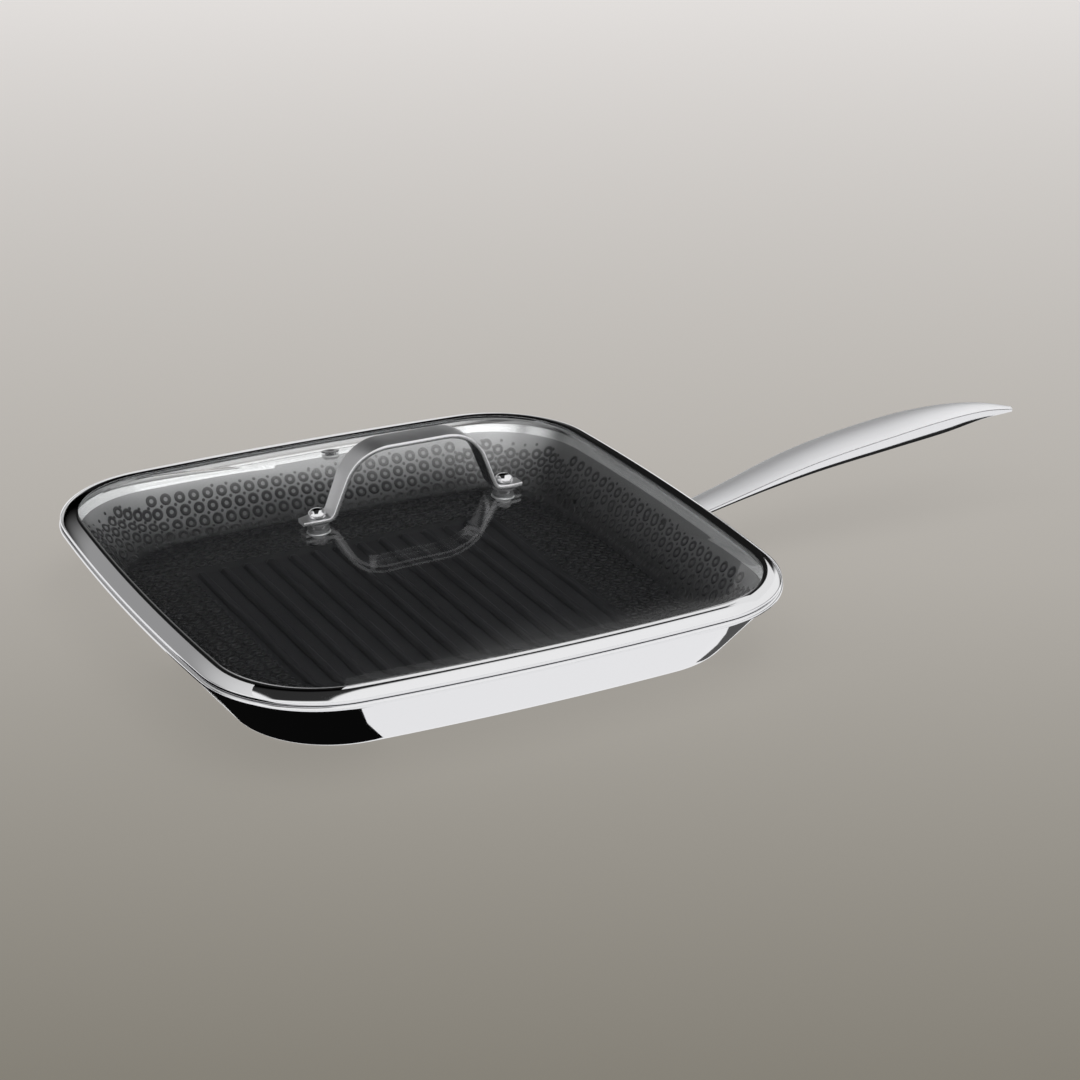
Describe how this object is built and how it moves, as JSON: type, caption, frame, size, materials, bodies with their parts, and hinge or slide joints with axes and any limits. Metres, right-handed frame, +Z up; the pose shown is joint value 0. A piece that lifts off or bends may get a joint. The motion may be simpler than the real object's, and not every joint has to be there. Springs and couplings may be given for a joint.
{
  "type": "grill pan",
  "caption": "Square steel grill pan with a ribbed non-stick inside, a long hollow handle, and a domed glass lid in a steel band with a strap handle and a steam vent.",
  "frame": {"origin": "middle of the base's flat underside", "axes": "+X from the pan's middle towards the handle, +Z up through the lid"},
  "size_m": [0.491, 0.29, 0.089],
  "materials": {
    "polished_steel": "mirror polished stainless steel",
    "satin_steel": "satin stainless steel",
    "nonstick_steel": "black non-stick coating in a relief of rings, bare steel at the top of the wall",
    "aluminium_core": "plain rolled sheet",
    "clear_glass": "clear tempered glass",
    "silicone": "matt silicone"
  },
  "bodies": {
    "pan": {"pan_outer_skin": "polished_steel", "pan_core": "aluminium_core", "pan_inner_skin": "nonstick_steel", "handle_bracket": "satin_steel", "handle_upper_shell": "polished_steel", "handle_lower_shell": "polished_steel"},
    "lid": {"lid_band": "polished_steel", "lid_glass": "clear_glass", "lid_handle": "polished_steel", "vent_eyelet": "polished_steel", "vent_ring": "satin_steel", "cap_nut_left": "polished_steel", "cap_nut_right": "polished_steel", "lid_screw_left": "satin_steel", "lid_screw_right": "satin_steel", "upper_gasket_left": "silicone", "upper_gasket_right": "silicone", "lower_gasket_left": "silicone", "lower_gasket_right": "silicone", "lid_washer_left": "satin_steel", "lid_washer_right": "satin_steel"}
  },
  "joints": [
    {"name": "lid_lift", "type": "slide", "parent": "pan", "child": "lid", "axis": [0, 0, 1], "range_m": [0, 0.12]}
  ]
}
